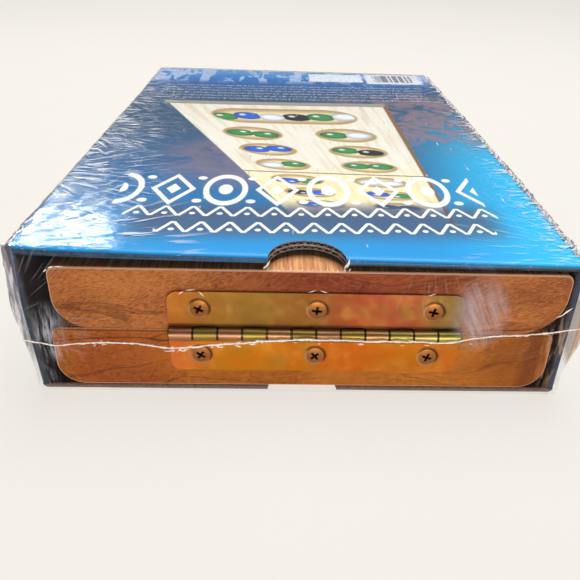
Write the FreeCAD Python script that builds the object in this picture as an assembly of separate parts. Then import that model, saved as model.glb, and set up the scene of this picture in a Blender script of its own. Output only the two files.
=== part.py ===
import FreeCAD, Part
import math
import os

# Folding wooden mancala board, packed in its card slipcase and shrink film.
# Millimetres. +X is across the board, +Y runs from the hinge end to the closed back of the
# slipcase, +Z is up. The origin is the middle of the underside of the wrapped pack.

V = FreeCAD.Vector
X_AXIS = V(1, 0, 0)
Y_AXIS = V(0, 1, 0)
Z_AXIS = V(0, 0, 1)

# Card slipcase
SLEEVE_W = 150.0
SLEEVE_L = 227.0
SLEEVE_H = 46.0
CARD_T = 1.5
CREASE_R = 1.3
HEM_DEPTH = 30.0
HEM_SIDE_GAP = 0.3
SIDE_HEM_T = 0.9
SIDE_HEM_R = 0.7
NOTCH_HALF_W = 10.2
NOTCH_DEPTH = 10.0

# Shrink film
FILM_T = 0.15
FILM_GAP = 0.05
FILM_REACH = 4.6

# Wooden halves
BOARD_W = 141.0
BOARD_L = 222.0
HALF_T = 19.0
SEAM_GAP = 0.1
UPPER_X = 2.0
LOWER_X = 0.5
BOARD_INSET = 0.3
TOP_CORNER_R = 2.6
UPPER_LEFT_R = 9.5
UPPER_RIGHT_R = 12.0
LOWER_R = 7.5
END_EDGE_R = 0.7

# Pits and stores
PIT_DEPTH = 12.0
PIT_FLOOR_R = 9.8
PIT_LIP_R = 1.2
PIT_COLUMN_X = 33.0
PIT_ROW_Y = (29.0, 82.0, 135.0)
STORE_Y = 189.0
STORE_HALF_SPAN = 32.0

# Hinge
KNUCKLES = 12
KNUCKLE_PITCH = 6.75
KNUCKLE_GAP = 0.15
BARREL_R = 1.8
PIN_R = 0.8
PIN_CLEARANCE = 0.05
LEAF_T = 1.0
LEAF_REACH = 12.8
LEAF_START = 2.1
LEAF_CORNER_R = 3.0
HINGE_X = 3.1
BARREL_BACK_GAP = 0.05

# Screws
SCREW_SPACING = 32.0
SCREW_OFFSET = 7.5
HEAD_R = 3.0
HEAD_DOME = 0.35
HEAD_CONE_H = 1.4
SHANK_R = 1.15
THREAD_R = 1.5
THREAD_PITCH = 1.1
SCREW_L = 8.8
TIP_L = 1.5
FIT_GAP = 0.03
RECESS_ARM = 1.75
RECESS_T = 0.75
RECESS_DEPTH = 1.3

# Playing stones
STONE_R = 6.2
STONE_TOP_H = 3.9
STONE_BASE_H = 2.0
STONE_RIM_R = 1.5
STONE_LIFT = 0.45
STONE_PITCH = 12.7
STONE_LAYER_RISE = 4.4

# Places worked out from the dimensions above
FRONT_Y = -(SLEEVE_L + FILM_GAP + FILM_T - FILM_REACH) / 2
SLEEVE_Z = FILM_T + FILM_GAP
FLOOR_Z = SLEEVE_Z + CARD_T
SEAM_Z = FLOOR_Z + HALF_T
PIN_Z = SEAM_Z + SEAM_GAP / 2
BOARD_Y = FRONT_Y + BOARD_INSET
PIN_Y = BOARD_Y - BARREL_R - BARREL_BACK_GAP
HINGE_L = KNUCKLES * KNUCKLE_PITCH


def box(x0, x1, y0, y1, z0, z1):
    return Part.makeBox(x1 - x0, y1 - y0, z1 - z0, V(x0, y0, z0))


def cylinder(radius, start, end):
    return Part.makeCylinder(radius, (end - start).Length, start, end - start)


def fuse(shapes):
    return shapes[0].multiFuse(shapes[1:]).removeSplitter()


def edges_where(shape, test):
    """The straight edges whose middle point passes the test."""
    found = []
    for edge in shape.Edges:
        middle = edge.valueAt((edge.FirstParameter + edge.LastParameter) / 2)
        if test(edge, middle):
            found.append(edge)
    return found


def near(a, b):
    return abs(a - b) < 1e-4


def revolved(points_and_arcs, centre, axis):
    face = Part.Face(Part.Wire(points_and_arcs))
    return face.revolve(centre, axis, 360)


def line(a, b):
    return Part.LineSegment(a, b).toShape()


def arc(a, middle, b):
    return Part.Arc(a, middle, b).toShape()


def arc_about(centre_a, centre_b, radius, start_deg, end_deg, place):
    """A circular arc in a plane: place(a, b) turns plane coordinates into a point."""
    def at(deg):
        angle = math.radians(deg)
        return place(centre_a + radius * math.cos(angle), centre_b + radius * math.sin(angle))
    return arc(at(start_deg), at((start_deg + end_deg) / 2), at(end_deg))


# Slipcase ------------------------------------------------------------------------------------

def notch_tool(z0, z1):
    """The thumb notch: a shallow arc cut in the front edge."""
    left = V(-NOTCH_HALF_W, FRONT_Y, z0)
    apex = V(0, FRONT_Y + NOTCH_DEPTH, z0)
    right = V(NOTCH_HALF_W, FRONT_Y, z0)
    front_left = V(-NOTCH_HALF_W, FRONT_Y - 1, z0)
    front_right = V(NOTCH_HALF_W, FRONT_Y - 1, z0)
    wire = Part.Wire([arc(left, apex, right), line(right, front_right),
                      line(front_right, front_left), line(front_left, left)])
    return Part.Face(wire).extrude(V(0, 0, z1 - z0))


def panel(z0, outer_z):
    """The top or bottom panel, with its outer long and back edges rounded as a crease."""
    half = SLEEVE_W / 2
    back = FRONT_Y + SLEEVE_L
    shape = box(-half, half, FRONT_Y, back, z0, z0 + CARD_T)
    creases = edges_where(shape, lambda edge, m: near(m.z, outer_z) and not near(m.y, FRONT_Y))
    shape = shape.makeFillet(CREASE_R, creases)
    return shape.cut(notch_tool(z0 - 1, z0 + CARD_T + 1))


def sleeve_top():
    z0 = SLEEVE_Z + SLEEVE_H - CARD_T
    shape = panel(z0, z0 + CARD_T)
    fold = edges_where(shape, lambda edge, m: near(m.z, z0 + CARD_T) and near(m.y, FRONT_Y))
    return shape.makeFillet(CREASE_R, fold)


def sleeve_hem():
    """The front strip of the top panel, folded back inside as a second layer."""
    half = SLEEVE_W / 2 - CARD_T - HEM_SIDE_GAP
    z1 = SLEEVE_Z + SLEEVE_H - CARD_T
    shape = box(-half, half, FRONT_Y, FRONT_Y + HEM_DEPTH, z1 - CARD_T, z1)
    fold = edges_where(shape, lambda edge, m: near(m.z, z1 - CARD_T) and near(m.y, FRONT_Y))
    shape = shape.makeFillet(CREASE_R, fold)
    return shape.cut(notch_tool(z1 - CARD_T - 1, z1 + 1))


def front_upright(x):
    """Picks the vertical front edge at x."""
    return lambda edge, m: near(m.x, x) and near(m.y, FRONT_Y)


def sleeve_side(sign):
    outer = sign * SLEEVE_W / 2
    inner = outer - sign * CARD_T
    z1 = SLEEVE_Z + SLEEVE_H - CARD_T
    shape = box(min(inner, outer), max(inner, outer), FRONT_Y, FRONT_Y + SLEEVE_L, FLOOR_Z, z1)
    return shape.makeFillet(CREASE_R, edges_where(shape, front_upright(outer)))


def sleeve_side_hem(sign):
    """The front strip of a side panel, folded back inside and pressed thin."""
    outer = sign * (SLEEVE_W / 2 - CARD_T)
    inner = outer - sign * SIDE_HEM_T
    z1 = SLEEVE_Z + SLEEVE_H - 2 * CARD_T - HEM_SIDE_GAP
    shape = box(min(inner, outer), max(inner, outer), FRONT_Y, FRONT_Y + HEM_DEPTH, FLOOR_Z, z1)
    return shape.makeFillet(SIDE_HEM_R, edges_where(shape, front_upright(inner)))


def sleeve_back():
    half = SLEEVE_W / 2 - CARD_T
    back = FRONT_Y + SLEEVE_L
    return box(-half, half, back - CARD_T, back, FLOOR_Z, SLEEVE_Z + SLEEVE_H - CARD_T)


# Shrink film ---------------------------------------------------------------------------------

def film_extent():
    half = SLEEVE_W / 2 + FILM_GAP + FILM_T
    return half, FRONT_Y - FILM_REACH, FRONT_Y + SLEEVE_L + FILM_GAP + FILM_T


def film_wrap():
    """Top, both sides and back in one skin, open at the front and resting on the underside."""
    half, front, back = film_extent()
    top = SLEEVE_Z + SLEEVE_H + FILM_GAP + FILM_T
    outer = box(-half, half, front + FILM_T, back, FILM_T, top)
    inner = box(-half + FILM_T, half - FILM_T, front, back - FILM_T, 0, top - FILM_T)
    return outer.cut(inner)


def film_bottom():
    half, front, back = film_extent()
    return box(-half, half, front + FILM_T, back, 0, FILM_T)


def film_front():
    half, front, back = film_extent()
    return box(-half, half, front, front + FILM_T, 0, SLEEVE_Z + SLEEVE_H + FILM_GAP + FILM_T)


# Wooden halves -------------------------------------------------------------------------------

def half_blank(x, z0, left_r, right_r):
    """One half: small radii at its upper long edges, large hand-sanded ones at its lower long edges."""
    half = BOARD_W / 2
    small = TOP_CORNER_R
    z1 = z0 + HALF_T

    def place(a, b):
        return V(x + a, BOARD_Y, b)

    parts = [
        line(place(-half + left_r, z0), place(half - right_r, z0)),
        arc_about(half - right_r, z0 + right_r, right_r, -90, 0, place),
        line(place(half, z0 + right_r), place(half, z1 - small)),
        arc_about(half - small, z1 - small, small, 0, 90, place),
        line(place(half - small, z1), place(-half + small, z1)),
        arc_about(-half + small, z1 - small, small, 90, 180, place),
        line(place(-half, z1 - small), place(-half, z0 + left_r)),
        arc_about(-half + left_r, z0 + left_r, left_r, 180, 270, place),
    ]
    blank = Part.Face(Part.Wire(parts)).extrude(V(0, BOARD_L, 0))
    ends = [e for e in blank.Edges if near(e.BoundBox.YLength, 0)]
    return blank.makeFillet(END_EDGE_R, ends)


def pit_profile(x, y, mouth_z, down):
    """Half section of a pit: flat floor, hollow wall and rounded lip. down is +1 to cut downwards."""
    wall_r = PIT_DEPTH - PIT_LIP_R
    lip_x = PIT_FLOOR_R + wall_r
    mouth_r = lip_x + PIT_LIP_R

    def place(a, b):
        return V(x + a, y, mouth_z + down * b)

    return [
        line(place(0, -PIT_DEPTH), place(PIT_FLOOR_R, -PIT_DEPTH)),
        arc_about(PIT_FLOOR_R, -PIT_LIP_R, wall_r, -90, 0, place),
        arc_about(mouth_r, -PIT_LIP_R, PIT_LIP_R, 180, 90, place),
        line(place(mouth_r, 0), place(mouth_r, 1)),
        line(place(mouth_r, 1), place(0, 1)),
        line(place(0, 1), place(0, -PIT_DEPTH)),
    ]


def pit_tool(x, y, mouth_z, down):
    return revolved(pit_profile(x, y, mouth_z, down), V(x, y, mouth_z), Z_AXIS)


def store_tool(x, y, mouth_z, down):
    """A long store: two pit ends joined by a straight trough of the same section."""
    ends = [pit_tool(x + s * STORE_HALF_SPAN, y, mouth_z, down) for s in (-1, 1)]
    section = Part.Face(Part.Wire(pit_profile(0, 0, mouth_z, down)))
    section.rotate(V(0, 0, 0), Z_AXIS, 90)
    section.translate(V(x - STORE_HALF_SPAN, y, 0))
    near_side = section.extrude(V(2 * STORE_HALF_SPAN, 0, 0))
    far_side = near_side.mirror(V(0, y, 0), Y_AXIS)
    return fuse(ends + [near_side, far_side])


def pit_centres(board_x):
    return [(board_x + s * PIT_COLUMN_X, BOARD_Y + row) for row in PIT_ROW_Y for s in (-1, 1)]


def screw_places(side):
    """Screw positions on the hinge-end face, three above or three below the pin."""
    return [V(HINGE_X + i * SCREW_SPACING, BOARD_Y, PIN_Z + side * SCREW_OFFSET)
            for i in (-1, 0, 1)]


def hollowed(half, board_x, mouth_z, down, side):
    """Cuts the pits, the store and the screws' pilot holes. down is +1 for pits that open upwards."""
    tools = [pit_tool(x, y, mouth_z, down) for x, y in pit_centres(board_x)]
    tools.append(store_tool(board_x, BOARD_Y + STORE_Y, mouth_z, down))
    for place in screw_places(side):
        tools.append(cylinder(THREAD_R + FIT_GAP, place - V(0, 1, 0), place + V(0, SCREW_L, 0)))
        tools.append(cylinder(HEAD_R * 0.8, place - V(0, 1, 0), place + V(0, 0.8, 0)))
    return half.cut(tools)


# Hinge ---------------------------------------------------------------------------------------

def hinge_leaf(side):
    """side +1 is the upper leaf, which owns the first knuckle; -1 is the lower leaf."""
    x0 = HINGE_X - HINGE_L / 2
    first = 0 if side > 0 else 1
    z_near = PIN_Z + side * LEAF_START
    z_far = PIN_Z + side * LEAF_REACH
    z_low, z_high = sorted((z_near, z_far))
    plate = box(x0, x0 + HINGE_L, BOARD_Y - LEAF_T, BOARD_Y, z_low, z_high)
    corners = edges_where(plate, lambda edge, m: near(m.z, z_far) and near(m.y, BOARD_Y - LEAF_T / 2))
    plate = plate.makeFillet(LEAF_CORNER_R, corners)
    pieces = [plate]
    for i in range(first, KNUCKLES, 2):
        a = x0 + i * KNUCKLE_PITCH + KNUCKLE_GAP / 2
        b = a + KNUCKLE_PITCH - KNUCKLE_GAP
        pieces.append(cylinder(BARREL_R, V(a, PIN_Y, PIN_Z), V(b, PIN_Y, PIN_Z)))
        web_low, web_high = sorted((PIN_Z, z_near + side * 0.5))
        pieces.append(box(a, b, BOARD_Y - LEAF_T, BOARD_Y - BARREL_BACK_GAP, web_low, web_high))
    leaf = fuse(pieces)
    bore_r = PIN_R + PIN_CLEARANCE
    tools = [cylinder(bore_r, V(x0 - 1, PIN_Y, PIN_Z), V(x0 + HINGE_L + 1, PIN_Y, PIN_Z))]
    tools += [screw_seat(place) for place in screw_places(side)]
    return leaf.cut(tools)


def screw_seat(place):
    """The countersunk hole in a leaf, with a little room round the screw head."""
    face_y = place.y - LEAF_T
    wide = HEAD_R + FIT_GAP
    narrow = SHANK_R + FIT_GAP
    rim = cylinder(wide, V(place.x, face_y - 1, place.z), V(place.x, face_y + FIT_GAP, place.z))
    cone = Part.makeCone(wide, narrow, HEAD_CONE_H, V(place.x, face_y + FIT_GAP, place.z), Y_AXIS)
    return fuse([rim, cone])


def hinge_pin():
    x0 = HINGE_X - HINGE_L / 2
    pin = cylinder(PIN_R, V(x0, PIN_Y, PIN_Z), V(x0 + HINGE_L, PIN_Y, PIN_Z))
    return pin.makeChamfer(0.2, [e for e in pin.Edges if e.Closed])


def screw(place, turn_deg):
    """Oval-head cross-recess wood screw, its thread drawn as separate ridges."""
    face_y = place.y - LEAF_T

    def at(radius, depth):
        return V(place.x + radius, face_y + depth, place.z)

    outline = [at(HEAD_R, 0), at(SHANK_R, HEAD_CONE_H)]
    depth = HEAD_CONE_H + 0.9
    while depth + THREAD_PITCH < SCREW_L - TIP_L:
        outline.append(at(SHANK_R, depth))
        outline.append(at(THREAD_R, depth + THREAD_PITCH * 0.45))
        outline.append(at(SHANK_R, depth + THREAD_PITCH * 0.9))
        depth += THREAD_PITCH
    outline += [at(SHANK_R, SCREW_L - TIP_L), at(0, SCREW_L)]
    edges = [line(a, b) for a, b in zip(outline, outline[1:])]
    edges.append(line(at(0, SCREW_L), at(0, -HEAD_DOME)))
    edges.append(arc(at(0, -HEAD_DOME), at(HEAD_R * 0.55, -HEAD_DOME * 0.72), at(HEAD_R, 0)))
    body = revolved(edges, place, Y_AXIS)
    arms = [recess_arm(place, face_y, turn_deg + quarter) for quarter in (0, 90)]
    return body.cut(fuse(arms))


def recess_arm(place, face_y, turn_deg):
    """One arm of the cross recess, narrowing towards its bottom."""
    top = face_y - HEAD_DOME - 0.5
    bottom = face_y + RECESS_DEPTH
    half_t = RECESS_T / 2
    corners = [V(-RECESS_ARM, top, 0), V(RECESS_ARM, top, 0), V(0.5, bottom, 0), V(-0.5, bottom, 0)]
    edges = [line(a, b) for a, b in zip(corners, corners[1:] + corners[:1])]
    arm = Part.Face(Part.Wire(edges)).extrude(V(0, 0, RECESS_T))
    arm.translate(V(place.x, 0, place.z - half_t))
    arm.rotate(place, Y_AXIS, turn_deg)
    return arm


# Stones --------------------------------------------------------------------------------------

def cap_arc(at, height, sign):
    """The arc from a stone's rim to its axis, tangent to the rim, on the side sign (+1 is up)."""
    rim_x = STONE_R - STONE_RIM_R
    rise = height - STONE_RIM_R
    below = (rim_x ** 2 - rise ** 2) / (2 * rise)
    radius = height + below
    meet = math.atan2(rim_x, below)

    def on_cap(angle):
        return at(radius * math.sin(angle), sign * (radius * math.cos(angle) - below))

    return arc(on_cap(meet), on_cap(meet / 2), on_cap(0)), on_cap(meet)


def stone(x, y, base_z):
    """A flattened glass stone: domed above, shallower below, with a small round rim."""
    middle = base_z + STONE_BASE_H

    def at(radius, height):
        return V(x + radius, y, middle + height)

    top, top_meet = cap_arc(at, STONE_TOP_H, 1)
    base, base_meet = cap_arc(at, STONE_BASE_H, -1)
    rim = arc(top_meet, at(STONE_R, 0), base_meet)
    axis = line(at(0, -STONE_BASE_H), at(0, STONE_TOP_H))
    return revolved([top, rim, base, axis], V(x, y, middle), Z_AXIS)


def stone_places():
    """Four stones in each pit of the lower half and two layers of stones in its store."""
    base = SEAM_Z - PIT_DEPTH + STONE_LIFT
    reach = STONE_PITCH / 2
    places = []
    for x, y in pit_centres(LOWER_X):
        places += [(x + a * reach, y + b * reach, base) for a in (-1, 1) for b in (-1, 1)]
    y = BOARD_Y + STORE_Y
    for i in range(-3, 4):
        places += [(LOWER_X + i * STONE_PITCH, y + b * reach, base) for b in (-1, 1)]
    upper = base + STONE_LAYER_RISE
    for i in range(-3, 3):
        places.append((LOWER_X + (i + 0.5) * STONE_PITCH, y, upper))
    for i in (-1, 0):
        places += [(LOWER_X + (i + 0.5) * STONE_PITCH, y + b * STONE_PITCH, upper) for b in (-1, 1)]
    return places


STONE_COLOURS = ("white", "black", "blue", "green")


def stones_by_colour():
    groups = {colour: [] for colour in STONE_COLOURS}
    for i, place in enumerate(stone_places()):
        colour = STONE_COLOURS[(i + i // 4) % 4]
        groups[colour].append(stone(*place))
    return groups


# Assembly ------------------------------------------------------------------------------------

def build():
    upper_z = SEAM_Z + SEAM_GAP
    lower = half_blank(LOWER_X, FLOOR_Z, LOWER_R, LOWER_R)
    upper = half_blank(UPPER_X, upper_z, UPPER_LEFT_R, UPPER_RIGHT_R)
    nodes = {
        "sleeve_top": sleeve_top(),
        "sleeve_hem": sleeve_hem(),
        "sleeve_bottom": panel(SLEEVE_Z, SLEEVE_Z),
        "sleeve_side_left": sleeve_side(-1),
        "sleeve_side_right": sleeve_side(1),
        "sleeve_hem_left": sleeve_side_hem(-1),
        "sleeve_hem_right": sleeve_side_hem(1),
        "sleeve_back": sleeve_back(),
        "film_wrap": film_wrap(),
        "film_bottom": film_bottom(),
        "film_front": film_front(),
        "lower_board": hollowed(lower, LOWER_X, SEAM_Z, 1, -1),
        "upper_board": hollowed(upper, UPPER_X, upper_z, -1, 1),
        "hinge_leaf_lower": hinge_leaf(-1),
        "hinge_leaf_upper": hinge_leaf(1),
        "hinge_pin": hinge_pin(),
    }
    turns = {"upper": (28, 5, 12), "lower": (35, 50, 18)}
    for name, side in (("upper", 1), ("lower", -1)):
        for place, end, turn in zip(screw_places(side), ("left", "middle", "right"), turns[name]):
            nodes[f"screw_{name}_{end}"] = screw(place, turn)
    for colour, stones in stones_by_colour().items():
        nodes[f"stones_{colour}"] = Part.makeCompound(stones)
    return nodes


os.makedirs("parts", exist_ok=True)
for node, shape in build().items():
    shape.exportStep(f"parts/{node}.step")
    print(node, shape.isValid(), len(shape.Solids), round(shape.Volume, 1))
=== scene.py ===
import math
import random

import bmesh
import bpy
import numpy as np
from mathutils import Matrix, Vector, noise


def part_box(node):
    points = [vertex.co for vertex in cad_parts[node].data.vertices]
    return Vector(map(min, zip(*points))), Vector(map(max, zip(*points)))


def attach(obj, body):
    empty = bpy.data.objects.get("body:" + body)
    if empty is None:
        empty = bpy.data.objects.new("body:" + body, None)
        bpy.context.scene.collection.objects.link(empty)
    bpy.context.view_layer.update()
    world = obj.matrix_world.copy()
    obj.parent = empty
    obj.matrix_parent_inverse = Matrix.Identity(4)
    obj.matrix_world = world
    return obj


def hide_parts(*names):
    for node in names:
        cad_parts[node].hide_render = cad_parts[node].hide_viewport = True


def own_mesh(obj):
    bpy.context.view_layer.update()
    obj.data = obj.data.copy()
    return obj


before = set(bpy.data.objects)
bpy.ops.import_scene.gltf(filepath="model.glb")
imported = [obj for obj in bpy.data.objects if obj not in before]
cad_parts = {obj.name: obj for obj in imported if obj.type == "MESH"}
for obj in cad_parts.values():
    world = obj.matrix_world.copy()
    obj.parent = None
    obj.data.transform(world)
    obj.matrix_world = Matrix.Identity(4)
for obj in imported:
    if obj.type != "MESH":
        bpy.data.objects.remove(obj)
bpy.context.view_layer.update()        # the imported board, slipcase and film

# A folding wooden mancala board in its printed card slipcase and shrink film.
# The wooden halves, hinge, screws and stones are the CAD nodes with their own materials.
# The slipcase and the film are meshes built here, round the CAD panels that they replace.

MM = 0.001


def mm(vector):
    return [component / MM for component in vector]


# ---- Places read from the frame, in millimetres

BOTTOM_LO, BOTTOM_HI = (mm(corner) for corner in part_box("sleeve_bottom"))
TOP_HI = mm(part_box("sleeve_top")[1])
HEM_HI = mm(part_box("sleeve_hem")[1])
LEAF_LO, LEAF_HI = (mm(corner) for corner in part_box("hinge_leaf_upper"))
BOARD_LO, BOARD_HI = (mm(corner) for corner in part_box("lower_board"))

FRONT_Y = BOTTOM_LO[1]
SLEEVE_L = BOTTOM_HI[1] - FRONT_Y
HALF_W = BOTTOM_HI[0]
SLEEVE_Z = BOTTOM_LO[2]
SLEEVE_H = TOP_HI[2] - SLEEVE_Z
CARD_T = BOTTOM_HI[2] - BOTTOM_LO[2]
HEM_DEPTH = HEM_HI[1] - FRONT_Y
HEM_HALF_W = HEM_HI[0]
SEAM_Z = BOARD_HI[2]
HINGE_X = (LEAF_LO[0] + LEAF_HI[0]) / 2
HINGE_HALF_L = (LEAF_HI[0] - LEAF_LO[0]) / 2

# Card
CREASE_R = 1.6
FLAT_HALF_W = HALF_W - CREASE_R      # the flat part of the top
BACK_R = 1.3
LINER_T = 0.25
GROOVE = 1.3             # depth of the gap between the liners at a notch
NOTCH_HALF_W = 10.2
NOTCH_DEPTH = 10.0
FLUTE_PITCH = 1.9
RIB_PITCH = 3.2          # faint ribs that show through the print
SIDE_FOLD_T = 2.4
FRONT_SAG = 3.2          # the top's front edge at its right end, fading over SAG_FADE
SAG_FADE = 90.0
LEFT_LEAN = 2.7          # the left side's top edge at the front, gone at LEAN_END
LEAN_END = 170.0
TOP_BELLY = 0.35

# Hinge
LEAF_T = 1.0
KNUCKLES = 12
SCREW_SPACING = 32.0
SCREW_OFFSET = 7.5

# Film
FILM_GAP = 0.3
EAR_REACH = 2.8
LEFT_EAR_Z = 29.0
RIGHT_EAR_Z = 23.0
EAR_SPREAD = 9.0
RIM_SHOWS = 2.7          # how far above the wood the front sheet shows its rim, seen from above


# ---- Node materials

def srgb(red, green, blue):
    """A colour given as 0 to 255 display values, in linear light."""
    def linear(value):
        value /= 255
        return value / 12.92 if value <= 0.04045 else ((value + 0.055) / 1.055) ** 2.4
    return (linear(red), linear(green), linear(blue), 1.0)


class Shader:
    """A short way to write a material's node tree."""

    def __init__(self, name):
        self.material = bpy.data.materials.new(name)
        self.material.use_nodes = True
        self.tree = self.material.node_tree
        self.tree.nodes.clear()
        self.output = self.add("OutputMaterial")
        self.coords = self.add("TexCoord")
        self.place = self.vector("SCALE", self.coords.outputs["Object"], Scale=1 / MM)

    def add(self, kind, inputs=None, **settings):
        node = self.tree.nodes.new("ShaderNode" + kind)
        for name, value in settings.items():
            setattr(node, name, value)
        for name, value in (inputs or {}).items():
            self.feed(node.inputs[name], value)
        return node

    def feed(self, socket, value):
        if isinstance(value, bpy.types.NodeSocket):
            self.tree.links.new(value, socket)
        else:
            socket.default_value = value

    def math(self, operation, a, b=0.0, c=0.0, clamp=False):
        inputs = {0: a, 1: b, 2: c}
        return self.add("Math", inputs, operation=operation, use_clamp=clamp).outputs[0]

    def vector(self, operation, a, b=(0, 0, 0), **named):
        node = self.add("VectorMath", {0: a, 1: b, **named}, operation=operation)
        return node.outputs["Value" if operation in ("LENGTH", "DOT_PRODUCT", "DISTANCE") else "Vector"]

    def xyz(self, vector):
        return self.add("SeparateXYZ", {0: vector}).outputs

    def join(self, x, y, z=0.0):
        return self.add("CombineXYZ", {0: x, 1: y, 2: z}).outputs[0]

    def smooth(self, value, low, high, to_low=0.0, to_high=1.0):
        node = self.add("MapRange", {0: value, 1: low, 2: high, 3: to_low, 4: to_high},
                        interpolation_type="SMOOTHSTEP")
        return node.outputs[0]

    def noise(self, vector, scale=1.0, detail=3.0, rough=0.5, distort=0.0):
        inputs = {"Vector": vector, "Scale": scale, "Detail": detail, "Roughness": rough,
                  "Distortion": distort}
        return self.add("TexNoise", inputs).outputs["Fac"]

    def stretched(self, vector, x, y, z, **more):
        return self.noise(self.vector("MULTIPLY", vector, (x, y, z)), **more)

    def mix(self, factor, a, b, blend="MIX"):
        node = self.add("Mix", data_type="RGBA", blend_type=blend)
        self.feed(node.inputs[0], factor)
        self.feed(node.inputs[6], a)
        self.feed(node.inputs[7], b)
        return node.outputs[2]

    def ramp(self, factor, stops, constant=False):
        node = self.add("ValToRGB", {0: factor})
        node.color_ramp.interpolation = "CONSTANT" if constant else "LINEAR"
        elements = node.color_ramp.elements
        for position, colour in stops[2:]:
            elements.new(position)
        for element, (position, colour) in zip(list(elements), stops):
            element.position = position
            element.color = colour
        return node.outputs[0]

    def fold(self, operation, values):
        result = values[0]
        for value in values[1:]:
            result = self.math(operation, result, value)
        return result

    def times(self, *values):
        return self.fold("MULTIPLY", values)

    def plus(self, *values):
        return self.fold("ADD", values)

    def most(self, *values):
        return self.fold("MAXIMUM", values)

    def minus(self, a, b):
        return self.math("SUBTRACT", a, b)

    def over(self, a, b):
        return self.math("DIVIDE", a, b)

    def size(self, a):
        return self.math("ABSOLUTE", a)

    def bump(self, height, strength, distance, normal=None):
        inputs = {"Height": height, "Strength": strength, "Distance": distance}
        if normal is not None:
            inputs["Normal"] = normal
        return self.add("Bump", inputs).outputs[0]

    def principled(self, **inputs):
        named = {key.replace("_", " "): value for key, value in inputs.items()}
        return self.add("BsdfPrincipled", named).outputs[0]

    def finish(self, surface):
        self.feed(self.output.inputs["Surface"], surface)
        return self.material


# ---- Wood

def wood(name, light, dark, tint, tint_where, bands):
    """Solid wood with its grain along Y: fine grain on the ends, long streaks elsewhere."""
    s = Shader(name)
    x, y, z = s.xyz(s.place)[0:3]
    warp = s.times(s.minus(s.noise(s.place, 0.025, 2.0), 0.5), 16.0)
    bent = s.join(x, y, s.plus(z, warp))
    tilted = s.add("VectorRotate", {"Vector": bent, "Angle": 0.35}, rotation_type="Y_AXIS").outputs[0]
    speck = s.stretched(tilted, 0.7, 0.10, 3.2, detail=2.0, rough=0.6)
    coarse = s.stretched(tilted, 0.20, 0.02, 0.75, detail=3.0)
    patch = s.stretched(s.place, 0.035, 0.012, 0.07, detail=2.0)
    pore = s.smooth(s.stretched(tilted, 1.2, 0.12, 3.6, detail=2.0), 0.36, 0.26)
    fleck = s.smooth(s.stretched(tilted, 0.7, 0.12, 3.4, detail=2.0), 0.60, 0.78)
    arcs = s.size(s.minus(s.stretched(bent, 0.012, 0.004, 0.16, detail=1.0), 0.47))
    arc_line = s.smooth(arcs, 0.016, 0.002)

    tone = s.plus(s.times(speck, 1.3), s.times(coarse, 0.35))
    tone = s.plus(tone, s.times(patch, 0.85))
    colour = s.mix(s.smooth(tone, 0.85, 1.65), dark, light)
    centre, half_width = tint_where
    red = s.size(s.minus(s.plus(x, s.times(warp, 0.8)), centre))
    colour = s.mix(s.smooth(red, half_width, half_width * 0.35, 0.0, 0.8), colour, tint, "MULTIPLY")
    band = s.smooth(s.stretched(s.place, 0.13, 0.01, 0.012, detail=1.0), 0.52, 0.66)
    band = s.times(band, s.smooth(x, 40.0, 54.0), bands)
    colour = s.mix(band, colour, s.mix(0.65, colour, srgb(92, 36, 6)))
    browner = s.times(s.smooth(x, 44.0, 60.0, 0.0, 0.4), bands)
    colour = s.mix(browner, colour, srgb(116, 54, 14))
    shadow = s.mix(0.6, colour, srgb(48, 20, 8))
    colour = s.mix(s.times(arc_line, 0.65), colour, shadow)
    colour = s.mix(s.times(pore, 0.3), colour, shadow)
    pale = s.mix(0.4, colour, srgb(222, 150, 96))
    colour = s.mix(s.times(fleck, 0.5), colour, pale)

    long_grain = s.stretched(s.place, 1.5, 0.045, 1.5, detail=4.0, rough=0.65)
    side = s.mix(s.smooth(long_grain, 0.3, 0.72), srgb(176, 112, 68), srgb(238, 176, 120))
    normal_y = s.size(s.xyz(s.coords.outputs["Normal"])[1])
    from_joint = s.size(s.minus(z, SEAM_Z))
    # painted shade: the wood darkens along the joint between the two halves, where the gap lies in shade
    colour = s.mix(s.smooth(from_joint, 0.75, 0.25, 0.0, 0.75), colour, srgb(44, 20, 10))
    colour = s.mix(s.smooth(normal_y, 0.55, 0.95), side, colour)
    # painted highlight: the wood's rounded edges are paler, as where they catch the light
    rounded = s.times(s.smooth(normal_y, 0.15, 0.45), s.smooth(normal_y, 0.99, 0.88))
    edge_painted_highlight = s.times(rounded, s.smooth(from_joint, 3.0, 6.0))
    colour = s.mix(s.times(edge_painted_highlight, 0.7), colour, srgb(236, 182, 146))
    height = s.minus(s.times(speck, 0.6), s.times(pore, 0.8))
    normal = s.bump(height, 0.25, 0.0004)
    rough = s.plus(0.5, s.times(speck, 0.2))
    return s.finish(s.principled(Base_Color=colour, Roughness=rough, Normal=normal, Specular_IOR_Level=0.1))


# ---- Metal

def around_screws(s):
    """Distance from the nearest screw's middle, and which side of it the point lies on: painted shade goes on
    the upper right, painted highlight on the lower left.
    """
    x, _, z = s.xyz(s.place)[0:3]
    turn = s.math("FRACT", s.over(s.minus(x, HINGE_X - SCREW_SPACING / 2), SCREW_SPACING))
    dx = s.times(s.minus(turn, 0.5), SCREW_SPACING)
    above = s.minus(z, SEAM_Z)
    dz = s.minus(s.size(above), SCREW_OFFSET)
    dz = s.times(dz, s.math("SIGN", above))
    lean = s.plus(s.times(dx, 0.6), s.times(dz, 0.8))
    return s.vector("LENGTH", s.join(dx, dz)), lean


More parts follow.
